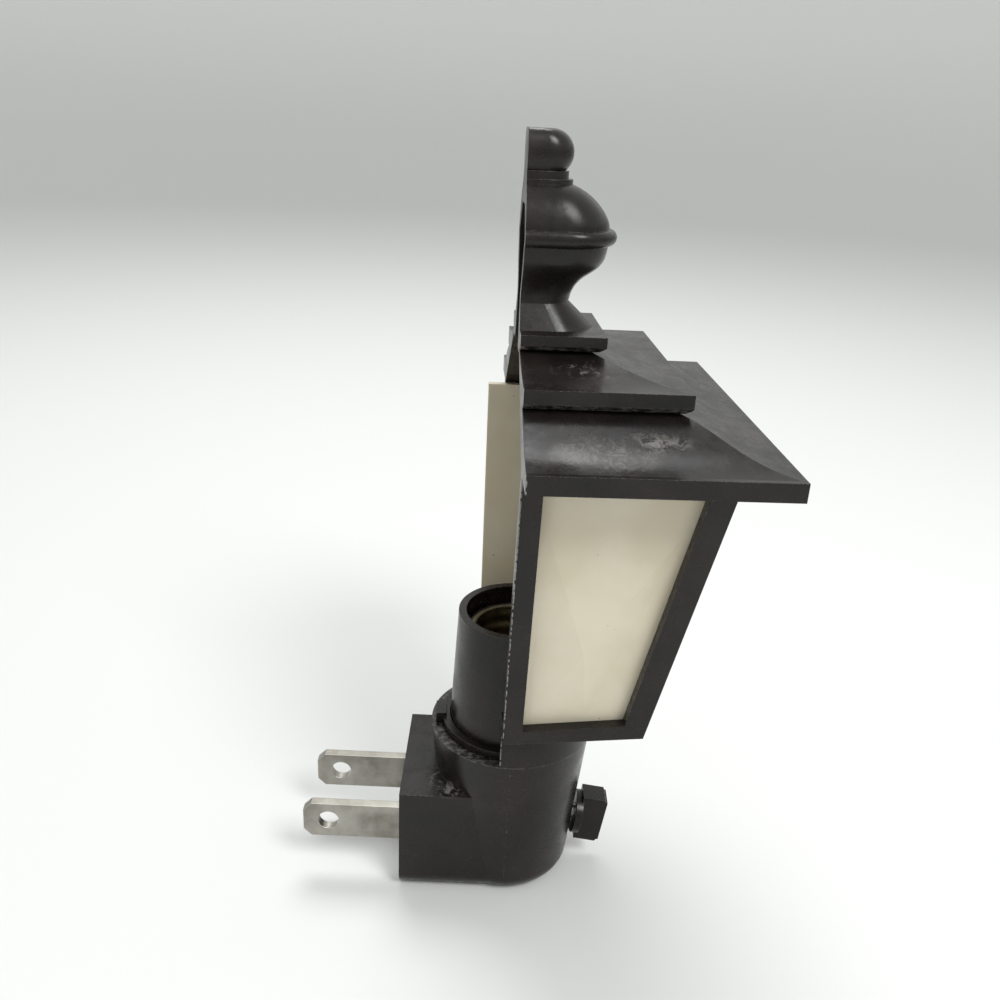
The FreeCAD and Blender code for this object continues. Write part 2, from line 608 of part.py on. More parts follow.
def make_lantern_shell():
    body = new_body("lantern_shell")
    loft(body, "AdditiveLoft", [
        plan(body, "cage_foot", "cage_low", "cage_low_half", "cage_low_depth"),
        plan(body, "cage_head", "eave_low", "cage_top_half", "cage_top_depth")], "cage", True)
    eave = plan(body, "eave_plan", "eave_low", "eave_half", "eave_depth")
    extrude(body, "Pad", eave, "eave_top - eave_low", "eave")
    roofs = (
        ("roof", "eave_top", "shelf_low", "eave_half", "eave_depth", "shelf_half", "shelf_depth", ROOF_SWELL),
        ("crown", "shelf_top", "cap_low", "shelf_half", "shelf_depth", "cap_half", "cap_depth", CROWN_SWELL))
    for name, low, high, out_half, out_depth, in_half, in_depth, swell in roofs:
        stations = roof_profile(low, high, out_half + " - ledge_inset", out_depth + " - ledge_inset",
                                in_half + " - ledge_inset", in_depth + " - ledge_inset", swell)
        sections = [plan(body, "%s_plan_%d" % (name, number), *station)
                    for number, station in enumerate(stations)]
        loft(body, "AdditiveLoft", sections, name, False)
    for name, low, high, half, depth in (
            ("shelf", "shelf_low", "shelf_top", "shelf_half", "shelf_depth"),
            ("cap", "cap_low", "cap_top", "cap_half", "cap_depth")):
        loft(body, "AdditiveLoft", [
            plan(body, name + "_under", low, half + " - ledge_inset", depth + " - ledge_inset"),
            plan(body, name + "_edge", low + " + under_bevel", half, depth)], name + "_bevel", True)
        slab = plan(body, name + "_plan", low + " + under_bevel", half, depth)
        extrude(body, "Pad", slab, "%s - %s - under_bevel" % (high, low), name)
    for run, stations in enumerate(finial_stations()):
        sections = [finial_plan(body, "finial_%d_%d" % (run, number), rise, reach)
                    for number, (rise, reach) in enumerate(stations)]
        loft(body, "AdditiveLoft", sections, "finial_%d" % run, False)
    return hollow_lantern(body)


def hollow_lantern(body):
    """Opens the cage, roof and finial from the back, cuts the windows and adds the skirt."""
    loft(body, "SubtractiveLoft", [
        plan(body, "room_foot", floor_top, "%s - shade_wall" % cage_half(floor_top),
             "%s - shade_wall" % cage_depth(floor_top)),
        plan(body, "room_head", "eave_low", "cage_top_half - shade_wall", "cage_top_depth - shade_wall"),
        ], "cage_room", True)
    loft(body, "SubtractiveLoft", [
        plan(body, "roof_room_foot", "eave_low", "cage_top_half - shade_wall", "cage_top_depth - shade_wall"),
        plan(body, "roof_room_head", "cap_low - under_bevel", "cap_half - shade_wall",
             "cap_depth - shade_wall")], "roof_room", True)
    bore = [("cap_low - under_bevel", "finial_bore + bore_flare"), ("waist_height - waist_land", "finial_bore"),
            ("waist_height + waist_land", "finial_bore"), ("bead_height", "bell_reach - shade_wall"),
            ("dome_top - dome_roof", "finial_bore")]
    sections = [finial_plan(body, "bore_%d" % number, rise, reach) for number, (rise, reach) in enumerate(bore)]
    loft(body, "SubtractiveLoft", sections, "finial_room", True)
    side = new_sketch(body, "side_window", "YZ_Plane", offset="-eave_half")
    low = "cage_low + rail_low"
    high = "eave_low - rail_top"
    outline(side, [
        ("-shade_back - post_back", "%s + cage_rise * post_back / cage_low_depth" % low),
        ("-shade_back - post_back", high),
        ("-shade_back - %s + post_front" % cage_depth(high), high),
        ("-shade_back - %s + post_front" % cage_depth("(%s + cage_rise)" % low), "%s + cage_rise" % low)])
    extrude(body, "Pocket", side, "eave_half * 2", "side_windows")
    front = new_sketch(body, "front_window", "XZ_Plane", offset="shade_back + cage_low_depth - shade_wall * 3")
    low = "(cage_low + cage_rise + rail_low)"
    outline(front, [
        ("front_post - %s" % cage_half(low), low), ("%s - front_post" % cage_half(low), low),
        ("%s - front_post" % cage_half(high), high), ("front_post - %s" % cage_half(high), high)])
    extrude(body, "Pocket", front, "eave_depth", "front_window")
    slope = new_sketch(body, "foot_slope", "YZ_Plane", offset="-eave_half")
    outline(slope, [
        ("-shade_back + 1", "cage_low - cage_rise / cage_low_depth"),
        ("-shade_back - cage_low_depth * 2", "cage_low + cage_rise * 2"),
        ("-shade_back - cage_low_depth * 2", "cage_low - 5"), ("-shade_back + 1", "cage_low - 5")])
    extrude(body, "Pocket", slope, "eave_half * 2", "foot_cut")
    skirt = new_sketch(body, "skirt_profile", "XZ_Plane", offset="axis_reach")
    outline(skirt, [
        (skirt_inner, shade_low), ("skirt_radius", shade_low),
        ("skirt_radius + skirt_flare", "cage_low + cage_rise + floor_thick / 2"),
        (skirt_inner, "cage_low + cage_rise + floor_thick / 2")])
    turn(body, "Revolution", skirt, "skirt")
    hole = new_sketch(body, "sleeve_hole", "XY_Plane", offset=shade_low, upward="-axis_reach")
    circle(hole, "0", "0", skirt_inner)
    extrude(body, "Pocket", hole, "%s - %s + 1" % (floor_top, shade_low), "sleeve_way")
    back = new_sketch(body, "open_back", "XZ_Plane", offset="shade_back - flange_radius * 3")
    rectangle(back, "-eave_half * 2", "eave_half * 2", "0", "sleeve_top")
    extrude(body, "Pocket", back, "flange_radius * 3", "back_cut")
    body.Placement = shade_place()
    return body


def cage_half(height):
    return "(cage_low_half + (%s - cage_low) * (cage_top_half - cage_low_half) / (eave_low - cage_low))" % height


def cage_depth(height):
    return ("(cage_low_depth + (%s - cage_low) * (cage_top_depth - cage_low_depth) / (eave_low - cage_low))"
            % height)


# Window panes: flat plates against the inside of the cage, each with a low faceted relief

def pane_solid(low, high, inset_side, place):
    """A plate whose outer face carries a low pyramid. place(u, z, out) gives a point: u from
    0 to 1 along the pane, z the height and out the distance beyond the plate's outer face."""
    thick = value("pane_thick")
    inset = value("relief_inset")
    tall = value("relief_tall")
    corners = [(0.0, low), (1.0, low), (1.0, high), (0.0, high)]
    span = (place(1, low, 0) - place(0, low, 0)).Length
    side = inset_side / span
    inner = [(side, low + inset), (1 - side, low + inset), (1 - side, high - inset), (side, high - inset)]
    back = [place(u, z, -thick) for u, z in corners]
    face = [place(u, z, 0) for u, z in corners]
    ring = [place(u, z, 0) for u, z in inner]
    peak = place(value("relief_across"), low + (high - low) * value("relief_peak"), tall)
    loops = [back[::-1]]
    for one in range(4):
        two = (one + 1) % 4
        loops.append([back[one], back[two], face[two], face[one]])
        loops.append([face[one], face[two], ring[two], ring[one]])
        loops.append([ring[one], ring[two], peak])
    faces = []
    for loop in loops:
        faces.append(Part.Face(Part.makePolygon(loop + [loop[0]])))
    return Part.makeSolid(Part.makeShell(faces))


def make_pane(label, kind):
    wall = value("shade_wall")
    gap = value("pane_gap")
    low = value(floor_top) + gap / 5
    high = value("eave_low") - gap
    back = value("shade_back")
    slip = value("pane_slip") if kind == "far" else 0.0

    def side_place(u, z, out):
        half = value(cage_half("%.6f" % z)) - wall
        depth = value(cage_depth("%.6f" % z)) - wall - gap
        across = half + out
        forward = gap + (depth - gap) * u - slip
        sign = 1 if kind == "far" else -1
        return FreeCAD.Vector(sign * across, -back - forward, z)

    def front_place(u, z, out):
        half = value(cage_half("%.6f" % z)) - wall - value("pane_thick") - gap
        depth = value(cage_depth("%.6f" % z)) - wall
        return FreeCAD.Vector(half * (1 - 2 * u), -back - depth - out, z)

    piece = doc.addObject("Part::Feature", label)
    piece.Label = label
    inset_side = value("post_back + pane_slip + relief_clear")
    solid = pane_solid(low, high, inset_side, front_place if kind == "front" else side_place)
    if solid.Volume < 0:
        solid.reverse()
    piece.Shape = solid
    piece.Placement = shade_place()
    return piece


def make_parts():
    return [
        make_rear_housing(), make_front_housing(), make_socket_sleeve(), make_screw_shell(),
        make_base_insulator(), make_centre_contact(), make_blade("left_blade", "-"),
        make_blade("right_blade", ""), make_live_strap(), make_neutral_strap(), make_lamp_strap(),
        make_switch_knob(), make_switch_shaft(), make_switch_rotor(), make_contact_bridge(),
        make_shaft_clip(), make_spring_washer(), make_turn_ring(), make_lantern_shell(),
        make_pane("near_pane", "near"), make_pane("far_pane", "far"), make_pane("front_pane", "front")]


def check_and_write(parts):
    doc.recompute()
    for item in doc.Objects:
        if "Invalid" in item.State or "Error" in item.State:
            raise ValueError(item.Label + " failed")
    for piece in parts:
        if piece.Shape.isNull() or not piece.Shape.isValid():
            raise ValueError(piece.Label + " has no sound shape")
    os.makedirs("parts", exist_ok=True)
    for piece in parts:
        piece.Shape.exportStep("parts/%s.step" % piece.Label)
        print(piece.Label, len(piece.Shape.Solids), round(piece.Shape.Volume, 1))


check_and_write(make_parts())
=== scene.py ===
import json
import math
import random
import bmesh
import bpy
from mathutils import Matrix, Vector


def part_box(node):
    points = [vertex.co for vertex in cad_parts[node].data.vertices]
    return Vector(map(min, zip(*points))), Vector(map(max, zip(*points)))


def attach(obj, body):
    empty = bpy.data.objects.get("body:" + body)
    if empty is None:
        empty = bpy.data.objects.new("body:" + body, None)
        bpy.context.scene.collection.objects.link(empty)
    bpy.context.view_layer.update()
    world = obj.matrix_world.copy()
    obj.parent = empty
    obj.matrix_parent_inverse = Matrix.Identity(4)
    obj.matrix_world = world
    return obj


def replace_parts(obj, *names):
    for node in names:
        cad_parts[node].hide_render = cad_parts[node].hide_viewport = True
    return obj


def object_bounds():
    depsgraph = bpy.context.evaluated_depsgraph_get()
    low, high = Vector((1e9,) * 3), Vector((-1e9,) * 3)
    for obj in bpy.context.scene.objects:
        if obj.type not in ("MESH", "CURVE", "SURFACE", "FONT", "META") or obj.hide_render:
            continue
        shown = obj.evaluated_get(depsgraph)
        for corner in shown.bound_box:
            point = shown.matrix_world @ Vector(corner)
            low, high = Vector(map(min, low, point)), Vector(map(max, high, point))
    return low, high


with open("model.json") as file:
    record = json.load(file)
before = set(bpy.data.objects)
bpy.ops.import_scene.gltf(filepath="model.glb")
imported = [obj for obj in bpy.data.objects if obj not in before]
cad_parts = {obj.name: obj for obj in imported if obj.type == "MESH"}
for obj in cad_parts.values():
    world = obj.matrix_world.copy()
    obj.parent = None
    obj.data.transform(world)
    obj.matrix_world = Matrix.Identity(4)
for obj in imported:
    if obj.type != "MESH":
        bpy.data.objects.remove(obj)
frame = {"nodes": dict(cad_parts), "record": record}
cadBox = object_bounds()
mm = 0.001
print("frame loaded:", len(frame["nodes"]), "nodes")


# camera: the photo's own view, worked out from the blades and the shade's corners

camera = {"place": (-131.3, -12.6, 108.9), "yaw": 0.41, "pitch": 22.32, "roll": 2.88, "focalPixels": 954.8,
          "framePixels": 1000, "sensor": 36.0, "clipStart": 0.01}


def makeCamera():
    yaw, pitch, roll = (math.radians(camera[key]) for key in ("yaw", "pitch", "roll"))
    forward = Vector((math.cos(pitch) * math.cos(yaw), -math.cos(pitch) * math.sin(yaw), -math.sin(pitch)))
    level = forward.cross(Vector((0, 0, 1))).normalized()
    upright = level.cross(forward)
    right = level * math.cos(roll) + upright * math.sin(roll)
    up = upright * math.cos(roll) - level * math.sin(roll)
    data = bpy.data.cameras.new("photoCamera")
    data.sensor_width = camera["sensor"]
    data.lens = camera["focalPixels"] / camera["framePixels"] * camera["sensor"]
    data.clip_start = camera["clipStart"]
    item = bpy.data.objects.new("photoCamera", data)
    place = Vector(camera["place"]) * mm
    item.matrix_world = Matrix((
        (right.x, up.x, -forward.x, place.x),
        (right.y, up.y, -forward.y, place.y),
        (right.z, up.z, -forward.z, place.z),
        (0, 0, 0, 1)))
    bpy.context.collection.objects.link(item)
    bpy.context.scene.camera = item


# studio: a pale floor that curves up all round into a low wall, and two soft lamps
# lengths in metres, but for floorDrop, the gap under the part, in mm

studio = {"floorDrop": 0.05, "innerReaches": (0.02, 0.4), "flatReach": 1.1, "curve": 0.35, "curveSteps": 12,
          "wallTop": 0.42, "around": 96, "color": (0.72, 0.73, 0.72), "wallColor": (0.90, 0.91, 0.90),
          "wallColorHeight": 0.30, "rough": 0.7, "gloss": 0.1, "worldColor": (0.86, 0.87, 0.86),
          "worldDiffuse": 0.72, "aim": (0, -0.02, 0.03),
          "key": {"place": (0.27, 0.02, 0.60), "size": 0.36, "power": 2.3},
          "fill": {"place": (-0.30, -0.24, 0.44), "size": 0.20, "power": 1.7}}


def makeLamp(name, setting):
    data = bpy.data.lights.new(name, "AREA")
    data.shape = "DISK"
    data.size = setting["size"]
    data.energy = setting["power"]
    item = bpy.data.objects.new(name, data)
    item.location = setting["place"]
    aim = Vector(studio["aim"]) - Vector(setting["place"])
    item.rotation_euler = aim.to_track_quat("-Z", "Y").to_euler()
    bpy.context.collection.objects.link(item)


def makeFloor():
    low = cadBox[0][2] - studio["floorDrop"] * mm
    profile = [(reach, low) for reach in (*studio["innerReaches"], studio["flatReach"])]
    for step in range(1, studio["curveSteps"] + 1):
        angle = math.radians(90 * step / studio["curveSteps"])
        profile.append((studio["flatReach"] + studio["curve"] * math.sin(angle),
                        low + studio["curve"] * (1 - math.cos(angle))))
    profile.append((profile[-1][0], low + studio["wallTop"]))
    count = studio["around"]
    turns = [2 * math.pi * turn / count for turn in range(count)]
    points = [(reach * math.cos(angle), reach * math.sin(angle), level)
              for reach, level in profile for angle in turns]
    faces = [tuple(range(count))]
    for ring in range(len(profile) - 1):
        for turn in range(count):
            after = (turn + 1) % count
            faces.append((ring * count + turn, (ring + 1) * count + turn, (ring + 1) * count + after,
                          ring * count + after))
    mesh = bpy.data.meshes.new("paleFloor")
    mesh.from_pydata(points, [], faces)
    mesh.polygons.foreach_set("use_smooth", [True] * len(faces))
    floor = bpy.data.objects.new("paleFloor", mesh)
    bpy.context.collection.objects.link(floor)
    material = bpy.data.materials.new("paleFloor")
    material.use_nodes = True
    tree = material.node_tree
    shader = tree.nodes["Principled BSDF"]
    coords = tree.nodes.new("ShaderNodeTexCoord")
    height = splitOf(tree, coords.outputs["Object"])[2]
    level = rangeOf(tree, height, 0.0, studio["wallColorHeight"])
    tree.links.new(mixOf(tree, level, studio["color"], studio["wallColor"]), shader.inputs["Base Color"])
    shader.inputs["Roughness"].default_value = studio["rough"]
    shader.inputs["Specular IOR Level"].default_value = studio["gloss"]
    mesh.materials.append(material)


def makeStudio():
    makeFloor()
    makeLamp("keyLamp", studio["key"])
    makeLamp("fillLamp", studio["fill"])
    world = bpy.data.worlds.new("studioWorld")
    bpy.context.scene.world = world
    world.use_nodes = True
    tree = world.node_tree
    paths = tree.nodes.new("ShaderNodeLightPath")
    shown = sumOf(tree, "MAXIMUM", paths.outputs["Is Camera Ray"], paths.outputs["Is Glossy Ray"])
    shown = sumOf(tree, "MAXIMUM", shown, paths.outputs["Is Transmission Ray"])
    strength = sumOf(tree, "MULTIPLY_ADD", shown, 1 - studio["worldDiffuse"], studio["worldDiffuse"])
    background = tree.nodes["Background"]
    background.inputs["Color"].default_value = (*studio["worldColor"], 1)
    tree.links.new(strength, background.inputs["Strength"])
    bpy.context.scene.view_settings.view_transform = "Standard"


# node helpers: each adds nodes to a tree and gives back the socket that holds the result

bevelSamples = 6
patchFade = (1.0, 0.3)  # share of a patch's size where it starts and where it is full


def sumOf(tree, kind, *values, clamp=False):
    node = tree.nodes.new("ShaderNodeMath")
    node.operation = kind
    node.use_clamp = clamp
    for place, value in enumerate(values):
        if isinstance(value, (int, float)):
            node.inputs[place].default_value = value
        else:
            tree.links.new(value, node.inputs[place])
    return node.outputs[0]


def startMaterial(name):
    material = bpy.data.materials.new(name)
    material.use_nodes = True
    tree = material.node_tree
    coords = tree.nodes.new("ShaderNodeTexCoord")
    scaled = tree.nodes.new("ShaderNodeVectorMath")
    scaled.operation = "SCALE"
    scaled.inputs["Scale"].default_value = 1 / mm  # object coordinates in mm
    tree.links.new(coords.outputs["Object"], scaled.inputs[0])
    return material, tree, tree.nodes["Principled BSDF"], scaled.outputs[0]


def noiseOf(tree, place, scale, detail=4.0, roughness=0.55, distortion=0.0, stretch=None):
    if stretch:
        mapping = tree.nodes.new("ShaderNodeMapping")
        mapping.inputs["Scale"].default_value = stretch
        tree.links.new(place, mapping.inputs["Vector"])
        place = mapping.outputs[0]
    node = tree.nodes.new("ShaderNodeTexNoise")
    node.inputs["Scale"].default_value = scale
    node.inputs["Detail"].default_value = detail
    node.inputs["Roughness"].default_value = roughness
    node.inputs["Distortion"].default_value = distortion
    tree.links.new(place, node.inputs["Vector"])
    return node.outputs["Fac"]


def rangeOf(tree, value, low, high, toLow=0.0, toHigh=1.0):
    node = tree.nodes.new("ShaderNodeMapRange")
    node.interpolation_type = "SMOOTHSTEP"
    for name, number in (("From Min", low), ("From Max", high), ("To Min", toLow), ("To Max", toHigh)):
        node.inputs[name].default_value = number
    tree.links.new(value, node.inputs["Value"])
    return node.outputs[0]


def mixOf(tree, factor, first, second):
    node = tree.nodes.new("ShaderNodeMix")
    node.data_type = "RGBA"
    tree.links.new(factor, node.inputs["Factor"])
    for name, value in (("A", first), ("B", second)):
        socket = [item for item in node.inputs if item.name == name and item.type == "RGBA"][0]
        if isinstance(value, tuple):
            socket.default_value = (*value, 1)
        else:
            tree.links.new(value, socket)
    return [item for item in node.outputs if item.type == "RGBA"][0]


def splitOf(tree, place):
    node = tree.nodes.new("ShaderNodeSeparateXYZ")
    tree.links.new(place, node.inputs[0])
    return node.outputs[0], node.outputs[1], node.outputs[2]


def edgesOf(tree, radius):  # how near an edge a point is, and the normal with that edge softened
    bevel = tree.nodes.new("ShaderNodeBevel")
    bevel.samples = bevelSamples
    bevel.inputs["Radius"].default_value = radius * mm
    geometry = tree.nodes.new("ShaderNodeNewGeometry")
    dot = tree.nodes.new("ShaderNodeVectorMath")
    dot.operation = "DOT_PRODUCT"
    tree.links.new(bevel.outputs[0], dot.inputs[0])
    tree.links.new(geometry.outputs["Normal"], dot.inputs[1])
    return sumOf(tree, "SUBTRACT", 1.0, dot.outputs["Value"], clamp=True), bevel.outputs[0]


def bumpOf(tree, height, distance, normal, strength=1.0):
    node = tree.nodes.new("ShaderNodeBump")
    node.inputs["Strength"].default_value = strength
    node.inputs["Distance"].default_value = distance * mm
    tree.links.new(height, node.inputs["Height"])
    if normal is not None:
        tree.links.new(normal, node.inputs["Normal"])
    return node.outputs[0]


def patchOf(tree, place, centre, size):  # 1 at the centre of an egg shaped patch, 0 outside
    shift = tree.nodes.new("ShaderNodeVectorMath")
    shift.operation = "SUBTRACT"
    shift.inputs[1].default_value = centre
    tree.links.new(place, shift.inputs[0])
    scale = tree.nodes.new("ShaderNodeVectorMath")
    scale.operation = "DIVIDE"
    scale.inputs[1].default_value = size
    tree.links.new(shift.outputs[0], scale.inputs[0])
    length = tree.nodes.new("ShaderNodeVectorMath")
    length.operation = "LENGTH"
    tree.links.new(scale.outputs[0], length.inputs[0])
    return rangeOf(tree, length.outputs["Value"], *patchFade)


# dark bronze moulded plastic, with pale scuffs on its edges, and pale patches and lines of painted sheen and
# painted highlights mixed with scuffs
# a noise is its scale per mm, detail, roughness, distortion and stretch; a range is where it starts and ends

darkPlastic = {"color": (0.0080, 0.0066, 0.0064), "brown": (0.017, 0.0125, 0.0105),
               "wearAndSheen": (0.30, 0.285, 0.26), "roughLow": 0.20, "roughHigh": 0.36, "gloss": 0.30,
               "edge": 0.13, "grain": 0.012, "ripple": 0.10,
               "cloudNoise": (0.09, 5.0, 0.6), "brownRange": (0.38, 0.72),
               "speckNoise": (2.2, 6.0, 0.7), "speckRange": (0.50, 0.66),
               "wornRange": (0.02, 0.14), "chips": 0.6,
               "pitNoise": (0.55, 9.0, 0.80, 1.2),
               "streakNoise": (1.6, 6.0, 0.75, 0.0, (1.0, 0.5, 1.4)), "streakRange": (0.44, 0.60),
               "lineCore": 0.2, "lineEnd": (0.6, 0.4),
               "dustNoise": (4.0, 2.0, 0.5), "dustRange": (0.74, 0.82), "dust": 0.25,
               "roughNoise": (0.25, 6.0, 0.65), "roughRange": (0.3, 0.7), "wearAndSheenRough": 0.3,
               "rippleStrength": 0.6, "grainStrength": 0.8}

# pale marks in mm: scuffs, painted sheen and painted highlights on the dark plastic, and the flash's own
# pale colour.
# A patch is its centre, size, strength and range of pits. A line lies all round at one height, with its
# thickness, how far from the middle plane it starts and its strength.

paleMarksAndSheen = {
    "shadeDark": {
        # scuffs mixed with painted sheen on the near roof slopes and the finial
        "patches": (((-24.5, -26.0, 72.0), (4.8, 9.0, 3.0), 0.50, (0.44, 0.62)),
                    ((-22.5, -32.5, 72.4), (3.8, 7.0, 1.6), 0.60, (0.46, 0.60)),
                    ((-11.5, -24.0, 78.4), (4.0, 6.0, 1.6), 0.4, (0.52, 0.64)),
                    ((-8.0, -20.5, 97.5), (4.0, 2.6, 1.6), 0.35, (0.40, 0.60))),
        # painted highlights along the tiers' lower edges, mixed with scuffs
        "lines": ((74.95, 0.55, 12.0, 0.45), (79.95, 0.5, 5.5, 0.5))},
    "plugDark": {
        # painted sheen on the block's top beside the cylinder, broken up by pits
        "patches": (((-5.0, -8.5, 8.8), (6.5, 6.0, 0.8), 0.45, (0.50, 0.62)),
                    ((-9.0, -8.0, 9.0), (2.6, 3.0, 1.0), 0.55, (0.46, 0.60))),
        # painted highlight along the flange rim
        "lines": ((16.4, 0.25, 0.0, 0.35),)},
    "paleFlash": {
        "patches": (((-19.0, -15.0, 45.0), (40.0, 40.0, 60.0), 0.8, (0.2, 0.4)),),
        "lines": ()}}


def makeDarkPlastic(name):
    material, tree, shader, place = startMaterial(name)
    edges, soft = edgesOf(tree, darkPlastic["edge"])
    cloud = noiseOf(tree, place, *darkPlastic["cloudNoise"])
    speck = noiseOf(tree, place, *darkPlastic["speckNoise"])
    pits = noiseOf(tree, place, *darkPlastic["pitNoise"])
    browned = rangeOf(tree, cloud, *darkPlastic["brownRange"])
    tint = mixOf(tree, browned, darkPlastic["color"], darkPlastic["brown"])
    worn = rangeOf(tree, edges, *darkPlastic["wornRange"])
    chips = sumOf(tree, "MULTIPLY", worn, rangeOf(tree, speck, *darkPlastic["speckRange"]))
    pale = sumOf(tree, "MULTIPLY", chips, darkPlastic["chips"])
    # pale patches: scuffs and painted sheen, broken up by pits
    for centre, size, amount, pitRange in paleMarksAndSheen[name]["patches"]:
        pitted = rangeOf(tree, pits, *pitRange)
        patch = sumOf(tree, "MULTIPLY", patchOf(tree, place, centre, size), pitted)
        pale = sumOf(tree, "MAXIMUM", pale, sumOf(tree, "MULTIPLY", patch, amount))
    across, height = splitOf(tree, place)[::2]
    streak = rangeOf(tree, noiseOf(tree, place, *darkPlastic["streakNoise"]), *darkPlastic["streakRange"])
    inset, outset = darkPlastic["lineEnd"]
    # pale lines at one height: painted edge highlights mixed with scuffs, broken into streaks
    for level, thick, reach, amount in paleMarksAndSheen[name]["lines"]:
        near = sumOf(tree, "ABSOLUTE", sumOf(tree, "SUBTRACT", height, level))
        line = rangeOf(tree, near, thick, thick * darkPlastic["lineCore"])
        side = rangeOf(tree, sumOf(tree, "ABSOLUTE", across), reach - inset, reach + outset)
        mask = sumOf(tree, "MULTIPLY", sumOf(tree, "MULTIPLY", line, side), streak)
        pale = sumOf(tree, "MAXIMUM", pale, sumOf(tree, "MULTIPLY", mask, amount))
    dust = rangeOf(tree, noiseOf(tree, place, *darkPlastic["dustNoise"]), *darkPlastic["dustRange"])
    pale = sumOf(tree, "MAXIMUM", pale, sumOf(tree, "MULTIPLY", dust, darkPlastic["dust"]))
    # one pale colour for edge wear, dust and scuffs, and for the painted sheen and painted highlights
    tree.links.new(mixOf(tree, pale, tint, darkPlastic["wearAndSheen"]), shader.inputs["Base Color"])
    rough = rangeOf(tree, noiseOf(tree, place, *darkPlastic["roughNoise"]), *darkPlastic["roughRange"],
                    darkPlastic["roughLow"], darkPlastic["roughHigh"])
    paleRough = sumOf(tree, "MULTIPLY", pale, darkPlastic["wearAndSheenRough"])
    tree.links.new(sumOf(tree, "ADD", rough, paleRough, clamp=True), shader.inputs["Roughness"])
    shader.inputs["Specular IOR Level"].default_value = darkPlastic["gloss"]
    ripple = bumpOf(tree, cloud, darkPlastic["ripple"], soft, darkPlastic["rippleStrength"])
    grain = bumpOf(tree, sumOf(tree, "ADD", speck, pale), darkPlastic["grain"], ripple,
                   darkPlastic["grainStrength"])
    tree.links.new(grain, shader.inputs["Normal"])
    return material


# ivory panes: satin plastic that lets some light through

ivory = {"color": (0.60, 0.535, 0.40), "pale": (0.66, 0.61, 0.48), "speck": (0.08, 0.06, 0.045),
         "rough": 0.34, "roughSpread": 0.14, "edge": 0.03, "edgePale": 0.5,
         "cloudNoise": (0.08, 4.0, 0.5), "paleRange": (0.35, 0.65),
         "speckNoise": (1.5, 1.0, 0.3), "speckRange": (0.80, 0.825), "specks": 0.7,
         "roughNoise": (0.8, 5.0, 0.6), "roughRange": (0.3, 0.7),
         "grainNoise": (2.0, 3.0, 0.5), "grain": 0.008, "grainStrength": 0.5,
         "glow": 0.2, "glowRadius": (0.8, 0.6, 0.35), "glowScale": 0.0015}


def makeIvory():
    material, tree, shader, place = startMaterial("ivoryPlastic")
    edges, soft = edgesOf(tree, ivory["edge"])
    paled = rangeOf(tree, noiseOf(tree, place, *ivory["cloudNoise"]), *ivory["paleRange"])
    tint = mixOf(tree, paled, ivory["color"], ivory["pale"])
    tint = mixOf(tree, sumOf(tree, "MULTIPLY", edges, ivory["edgePale"]), tint, ivory["pale"])
    speckled = rangeOf(tree, noiseOf(tree, place, *ivory["speckNoise"]), *ivory["speckRange"])
    spots = sumOf(tree, "MULTIPLY", speckled, ivory["specks"])
    tree.links.new(mixOf(tree, spots, tint, ivory["speck"]), shader.inputs["Base Color"])
    rough = rangeOf(tree, noiseOf(tree, place, *ivory["roughNoise"]), *ivory["roughRange"], ivory["rough"],
                    ivory["rough"] + ivory["roughSpread"])
    tree.links.new(rough, shader.inputs["Roughness"])
    shader.inputs["Subsurface Weight"].default_value = ivory["glow"]
    shader.inputs["Subsurface Radius"].default_value = ivory["glowRadius"]
    shader.inputs["Subsurface Scale"].default_value = ivory["glowScale"]
    fine = noiseOf(tree, place, *ivory["grainNoise"])
    tree.links.new(bumpOf(tree, fine, ivory["grain"], soft, ivory["grainStrength"]), shader.inputs["Normal"])
    return material


# metals: clean and tarnished colours mixed in soft patches, brighter on worn edges

metals = {
    "bladeNickel": {"color": (0.41, 0.395, 0.355), "dull": (0.20, 0.185, 0.16), "rough": (0.30, 0.46),
                    "edge": 0.14, "patch": 0.14},
    "shellBrass": {"color": (0.36, 0.31, 0.22), "dull": (0.10, 0.08, 0.06), "rough": (0.26, 0.48),
                   "edge": 0.08, "patch": 0.4},
    "strapBrass": {"color": (0.66, 0.50, 0.26), "dull": (0.32, 0.22, 0.12), "rough": (0.25, 0.45),
                   "edge": 0.05, "patch": 0.4},
    "springSteel": {"color": (0.55, 0.55, 0.55), "dull": (0.25, 0.24, 0.23), "rough": (0.22, 0.40),
                    "edge": 0.05, "patch": 0.5}}

metalWear = {"patchNoise": (6.0, 0.6), "lineNoise": (4.0, 4.0, 0.6, 0.0, (1.0, 0.05, 1.0)),
             "wornRange": (0.01, 0.12), "tarnishRange": (0.30, 0.75), "wornGain": 1.7, "tarnishRough": 0.4,
             "roughRange": (0.35, 0.95), "grain": 0.01, "grainStrength": 0.7}


